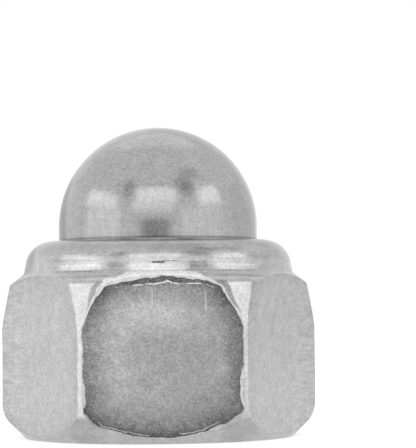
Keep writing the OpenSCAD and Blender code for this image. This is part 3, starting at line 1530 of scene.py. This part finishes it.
        share = self.sunk_share + (1 - self.sunk_share) * scraped
        hexagon = hexagon - self.sunk * share * smooth_step(depth, -0.03, 0.05) / np.cos(off)
        bulge = self.bulges.at(points, (r > self.lip_r + 0.3) & (z > 0.05))
        radius = soft_min(hexagon, r, self.edge_blend) + self.uneven * bulge
        points = np.stack([radius * np.cos(angle), radius * np.sin(angle), z], -1)

        inset = self.land_inset + self.land_taper * smooth_step(z, self.shoulder_z - 1.7, self.shoulder_z)
        over = self.apothem / np.cos(off) - r
        over = over + self.land_ragged * self.land_waves.at(points, r > self.apothem)
        land = smooth_step(over, inset - 0.015, inset + 0.015) * (z < self.shoulder_z + 0.1)
        along = np.abs(plain * np.sin(off))
        rings = [skin.ring(points[i], flat_depth=depth[i], flat_along=along[i], corner_land=land[i],
                           scraped=scraped[i]) for i in range(len(section))]
        skin.join_all(rings)
        return rings[0], rings[-1]

    def thread_points(self, angle: np.ndarray) -> np.ndarray:
        """Works out the right hand thread, with its countersinks, in rows that climb with it.

        Args:
            angle: Angles of the columns.

        Returns:
            A (rows, columns, 3) array of positions.
        """
        share, height = np.array(self.thread_form).T
        rows = len(share)
        major_r = self.thread_d / 2 + self.thread_room
        number = np.arange((math.ceil(self.seat_z / self.thread_pitch) + 3) * rows)
        lead = (number // rows + share[number % rows])[:, None] - 1.5
        z = np.clip((lead + angle / (2 * math.pi)) * self.thread_pitch, 0, self.seat_z)
        r = self.minor_r + (major_r - self.minor_r) * height[number % rows][:, None] + 0 * z
        r = np.maximum(r, self.mouth_r - z / self.sink_slope)
        r = np.maximum(r, self.thread_d / 2 - (self.seat_z - z) / self.sink_slope)
        r = np.where(z <= 0, self.mouth_r, np.where(z >= self.seat_z, major_r, r))
        return np.stack([r * np.cos(angle), r * np.sin(angle), z], -1)

    def grow_thread(self, skin: Skin, angle: np.ndarray) -> tuple[Ring, Ring]:
        """Adds the internal thread.

        Args:
            skin: The mesh that is being grown.
            angle: Angles of the columns.

        Returns:
            The rings at the thread's upper and lower end.
        """
        rows = len(self.thread_form)
        rings = [skin.ring(row, flat_depth=np.full(len(row), -1.0)) for row in self.thread_points(angle)]
        for a, b in zip(rings, rings[1:]):
            skin.faces += [[b[j], b[j + 1], a[j + 1], a[j]] for j in range(len(angle) - 1)]
        for k in range(len(rings) - rows - 1):
            skin.faces.append([rings[k + 1][-1], rings[k + 1 + rows][0], rings[k + rows][0], rings[k][-1]])
        return rings[-1], rings[0]

    def build(self) -> bpy.types.Object:
        """Builds the body as one closed mesh.

        Returns:
            The body.
        """
        skin = Skin()
        first, last = self.grow_outside(skin)
        angle = self.angles()[::self.coarser]
        upper, lower = self.grow_thread(skin, angle)
        under = self.top - self.lip_t
        room = outline([
            Corner(self.lip_r + 0.15, under),
            Corner(self.recess_r, under),
            Corner(self.recess_r, self.seat_z),
            Corner(self.thread_d / 2 + 0.3, self.seat_z)])
        plain = np.full(len(angle), -1.0)
        rings = [skin.ring(row, flat_depth=plain) for row in turned(room, angle)]
        base = skin.ring(turned(np.array([[self.base_r - 0.7, 0.0]]), angle)[0], flat_depth=plain)
        skin.join_all([last, *rings, upper])
        skin.join_all([lower, base, first])
        return skin.close(self.name)


@dataclass
class TurnedPiece(Piece):
    """A closed piece that is the same all round its axis.

    Attributes:
        columns: How many columns of faces it has.
    """

    columns: int

    def section(self) -> np.ndarray:
        """Half section of the piece, run anticlockwise."""
        raise NotImplementedError

    def build(self) -> bpy.types.Object:
        """Builds the piece as one closed mesh.

        Returns:
            The piece.
        """
        skin = Skin()
        angle = np.arange(self.columns) * 2 * math.pi / self.columns
        rings = [skin.ring(row) for row in turned(self.section(), angle)]
        skin.join_all([*rings, rings[0]])
        return skin.close(self.name)


@dataclass
class DomeCap(TurnedPiece):
    """The cap drawn from sheet."""

    name: str = "sheet_dome"
    node: str = "dome_cap"
    slot: str = "cap_steel"
    columns: int = 240
    dome_r: float = 4.69            # outer radius of the dome and of the wall below it
    sheet_t: float = 0.5            # thickness of the sheet
    bend_round: float = 0.12        # radius of the bend between the wall and the flange
    polar_steps: int = 90           # points up the outside of the dome

    def section(self) -> np.ndarray:
        """Draws the shell, up its outside and down its inside.

        Returns:
            The half section's (r, z) rows.
        """
        inside_r, flange_r = self.dome_r - self.sheet_t, self.half_x
        dome_z, flange_top = self.top - self.dome_r, self.bottom + self.sheet_t
        wall = outline([
            Corner(flange_r, self.bottom),
            Corner(flange_r, flange_top),
            Corner(self.dome_r, flange_top, self.bend_round),
            Corner(self.dome_r, dome_z, 0, 0.1)])
        climb = np.linspace(0, math.pi / 2, self.polar_steps)[1:]
        fall = np.linspace(math.pi / 2, 0, self.polar_steps // 3)
        outer, inner = (np.stack([r * np.cos(turn), dome_z + r * np.sin(turn)], -1)
                        for r, turn in ((self.dome_r, climb), (inside_r, fall)))
        foot = outline([
            Corner(inside_r, dome_z - 0.2),
            Corner(inside_r, self.bottom, self.bend_round + self.sheet_t),
            Corner(flange_r - 0.05, self.bottom)])
        whole = np.concatenate([wall, outer, inner, foot])
        whole[:, 0] = np.maximum(whole[:, 0], 0)
        return whole


@dataclass
class LockingRing(TurnedPiece):
    """The plastic ring."""

    name: str = "nylon_ring"
    node: str = "locking_ring"
    slot: str = "ring_nylon"
    columns: int = 160
    inner_r: float = 3.65           # radius of its hole
    bevel: float = 0.15             # bevel on its edges

    def section(self) -> np.ndarray:
        """Draws the ring with its bevels.

        Returns:
            The half section's (r, z) rows.
        """
        r0, r1, z0, z1, b = self.inner_r, self.half_x, self.bottom, self.top, self.bevel
        return np.array([
            [r0 + b, z0], [r1 - b, z0], [r1, z0 + b], [r1, z1 - b],
            [r1 - b, z1], [r0 + b, z1], [r0, z1 - b], [r0, z0 + b]])


# ---------------------------------------------------------------------------------------------
# Studio
# ---------------------------------------------------------------------------------------------

def direction(azimuth: float, elevation: float) -> Vector:
    """The unit vector that points from the nut to a place round it, given in degrees."""
    a, e = math.radians(azimuth), math.radians(elevation)
    return Vector((math.sin(a) * math.cos(e), -math.cos(a) * math.cos(e), math.sin(e)))


def bare_material(name: str) -> tuple[bpy.types.Material, Graph, Socket]:
    """Starts a material that holds no shader yet.

    Args:
        name: Name of the material.

    Returns:
        The material, its graph, and the socket that its shader feeds.
    """
    material = bpy.data.materials.new(name)
    material.use_nodes = True
    nodes = material.node_tree.nodes
    nodes.remove(nodes["Principled BSDF"])
    return material, Graph(material.node_tree), nodes["Material Output"].inputs["Surface"]


@dataclass(frozen=True)
class Card:
    """A flat thing that faces the nut.

    Attributes:
        name: Its name.
        azimuth: Degrees to the right of the front.
        elevation: Degrees above the horizon.
        width: Its width in millimetres.
        height: Its height in millimetres.
        level: Radiance of its middle, where the surroundings have 1.
    """

    name: str
    azimuth: float
    elevation: float
    width: float
    height: float
    level: float

    def hang(self, obj: bpy.types.Object, target: Vector, distance: float) -> None:
        """Puts the card's object in its place.

        Args:
            obj: The object.
            target: The place that it faces.
            distance: Distance from there in millimetres.
        """
        away = direction(self.azimuth, self.elevation)
        obj.location = target + away * distance * MM
        obj.rotation_euler = away.to_track_quat("Z", "Y").to_euler()


@dataclass(frozen=True)
class SoftBox(Card):
    """A rectangular lamp."""

    def build(self) -> bpy.types.Object:
        """Makes the lamp.

        Returns:
            The lamp.
        """
        light = bpy.data.lights.new(self.name, "AREA")
        light.shape = "RECTANGLE"
        light.size, light.size_y = self.width * MM, self.height * MM
        light.energy = self.level * 4 * light.size * light.size_y       # 4 W per square metre give 1
        return linked(self.name, light)


@dataclass(frozen=True)
class Flag(Card):
    """A dark oval card that the metal reflects and the camera doesn't see.

    Attributes:
        soft: Share of the way from its rim to its middle over which it fades out.
    """

    soft: float

    def material(self) -> bpy.types.Material:
        """Builds the card's material, which fades out towards the rim.

        Returns:
            The material.
        """
        material, g, surface = bare_material(self.name)
        shares = (2 / (self.width * MM), 2 / (self.height * MM), 0)
        place = g.fed("VectorMath", g.node("TexCoord").outputs["Object"], shares, operation="MULTIPLY")
        out = Signal(g, g.fed("VectorMath", place.outputs[0], operation="LENGTH").outputs["Value"])
        face = g.fed("Emission", (1, 1, 1, 1), self.level).outputs[0]
        clear = g.node("BsdfTransparent").outputs[0]
        g.feed(surface, g.mix_shader(out.step(1 - self.soft, 1.0), face, clear))
        return material

    def build(self) -> bpy.types.Object:
        """Makes the card.

        Returns:
            The card.
        """
        mesh = bpy.data.meshes.new(self.name)
        turn = np.arange(64) * 2 * math.pi / 64
        rim = [(self.width / 2 * MM * math.cos(a), self.height / 2 * MM * math.sin(a), 0.0) for a in turn]
        mesh.from_pydata(rim, [], [tuple(range(len(rim)))])
        mesh.materials.append(self.material())
        card = linked(self.name, mesh)
        card.visible_camera = False
        return card


@dataclass
class Studio:
    """White floor and surroundings, soft boxes, darker cards and the camera. Sizes are in millimetres."""

    target: Vector
    box_distance: float = 120.0
    boxes: tuple[SoftBox, ...] = (
        SoftBox("box_front", -4, 36, 90, 34, 0.46),
        SoftBox("box_front_low", -9, 22, 94, 26, 0.25),
        SoftBox("box_left", -75, 26, 91, 31, 0.46),
        SoftBox("box_left_low", -68, 6, 102, 48, 0.25),
        SoftBox("box_right", 65, 30, 62, 33, 0.49),
        SoftBox("box_right_low", 50, 8, 118, 60, 0.14),
        SoftBox("box_left_back", -124, 8, 80, 66, 0.07),
        SoftBox("box_back", 180, 62, 90, 50, 0.14),
    )
    flag_distance: float = 95.0
    flags: tuple[Flag, ...] = (
        Flag("flag_lens", -5, 0, 90, 42, 0.36, 0.7),
        Flag("flag_front_top", -2, 47, 88, 10, 0.82, 0.4),
        Flag("flag_left", -41, 40, 30, 44, 0.54, 0.6),
        Flag("flag_right", 37, 43, 44, 50, 0.52, 0.6),
        Flag("flag_right_top", 55, 56, 44, 26, 0.7, 0.5),
        Flag("flag_right_back", 125, 10, 116, 84, 0.88, 0.3),
        Flag("flag_back_right", 158, 34, 80, 60, 0.9, 0.2),
        Flag("flag_back_left", -153, 2, 84, 64, 0.7, 0.4),
    )
    surround: float = 0.8           # level at which the surroundings light what isn't glossy
    floor_half: float = 2000.0
    floor_drop: float = 0.01        # gap that keeps the bearing face off the floor
    floor_glow: float = 0.55        # light added to the floor for the camera alone
    camera_distance: float = 100.0
    camera_height: float = 5.7
    camera_azimuth: float = -1.6    # degrees that the camera stands to the right of the front
    camera_yaw: float = 1.36        # degrees that the camera looks past the nut's right
    camera_pitch: float = 2.476     # degrees that it looks upwards
    camera_roll: float = -0.55      # degrees that it leans to the left
    lens: float = 169.3

    def world(self) -> None:
        """Makes the surroundings: white to look at and in reflections, plain light elsewhere."""
        world = bpy.data.worlds.new("surroundings")
        bpy.context.scene.world = world
        world.use_nodes = True
        g = Graph(world.node_tree)
        back = world.node_tree.nodes["Background"]
        path = g.node("LightPath").outputs
        seen = g.math("MAXIMUM", path["Is Camera Ray"], path["Is Glossy Ray"])
        seen = g.math("MAXIMUM", seen, path["Is Transmission Ray"])
        g.feed(back.inputs["Color"], (1, 1, 1, 1))
        g.feed(back.inputs["Strength"], g.mix(seen, self.surround, 1.0))

    def floor_material(self) -> bpy.types.Material:
        """Builds the floor's finish: pale, white in reflections, and clear from below.

        Returns:
            The material.
        """
        material, g, surface = bare_material("floor")
        path = g.node("LightPath").outputs
        glow = g.math("MULTIPLY", path["Is Camera Ray"], self.floor_glow)
        pale = g.fed("AddShader", g.fed("BsdfDiffuse", (0.8, 0.8, 0.8, 1)).outputs[0],
                     g.fed("Emission", (1, 1, 1, 1), glow).outputs[0]).outputs[0]
        white = g.node("Emission").outputs[0]
        mirrored = g.math("MAXIMUM", path["Is Glossy Ray"], path["Is Transmission Ray"])
        clear = g.node("BsdfTransparent").outputs[0]
        below = g.node("NewGeometry").outputs["Backfacing"]
        g.feed(surface, g.mix_shader(below, g.mix_shader(mirrored, pale, white), clear))
        return material

    def floor(self) -> bpy.types.Object:
        """Makes the pale floor, which shows white where no shadow falls.

        Returns:
            The floor.
        """
        mesh = bpy.data.meshes.new("floor")
        half, low = self.floor_half * MM, -self.floor_drop * MM
        corners = [(x * half, y * half, low) for x, y in ((-1, -1), (1, -1), (1, 1), (-1, 1))]
        mesh.from_pydata(corners, [], [(0, 1, 2, 3)])
        mesh.materials.append(self.floor_material())
        return linked("floor", mesh)

    def camera(self) -> None:
        """Makes the camera, which looks a little above the nut and past its right side."""
        data = bpy.data.cameras.new("camera")
        data.sensor_width = 36.0
        data.lens = self.lens
        data.clip_start, data.clip_end = 0.001, 10.0
        camera = linked("camera", data)
        away = direction(self.camera_azimuth, 0)
        place = Vector((0, 0, self.camera_height * MM)) + away * self.camera_distance * MM
        level = away.to_track_quat("Z", "Y").to_matrix().to_4x4()
        yaw = Matrix.Rotation(-math.radians(self.camera_yaw), 4, "Y")
        pitch = Matrix.Rotation(math.radians(self.camera_pitch), 4, "X")
        roll = Matrix.Rotation(math.radians(self.camera_roll), 4, "Z")
        camera.matrix_world = Matrix.Translation(place) @ level @ yaw @ pitch @ roll
        bpy.context.scene.camera = camera

    def build(self) -> None:
        """Builds the whole studio."""
        bpy.context.scene.view_settings.view_transform = "Standard"
        self.world()
        self.floor()
        for flag in self.flags:
            card = flag.build()
            flag.hang(card, self.target, self.flag_distance)
        for box in self.boxes:
            box.hang(box.build(), self.target, self.box_distance)
        self.camera()


# ---------------------------------------------------------------------------------------------


def main() -> None:
    """Builds the studio and the three pieces."""
    logging.basicConfig(level=logging.INFO, format="%(name)s %(message)s")
    low, high = CAD_BOX
    Studio(target=(low + high) / 2).build()
    groups = Groups()
    makers = (NutBody(), DomeCap(), LockingRing())
    for maker, finish in zip(makers, (FormedSteel(), SatinSteel(), NaturalNylon())):
        piece = maker.build()
        maker.dress(piece, finish.material(groups))
        LOG.info("%s: %d faces", piece.name, len(piece.data.polygons))


if __name__ == "__main__":
    main()
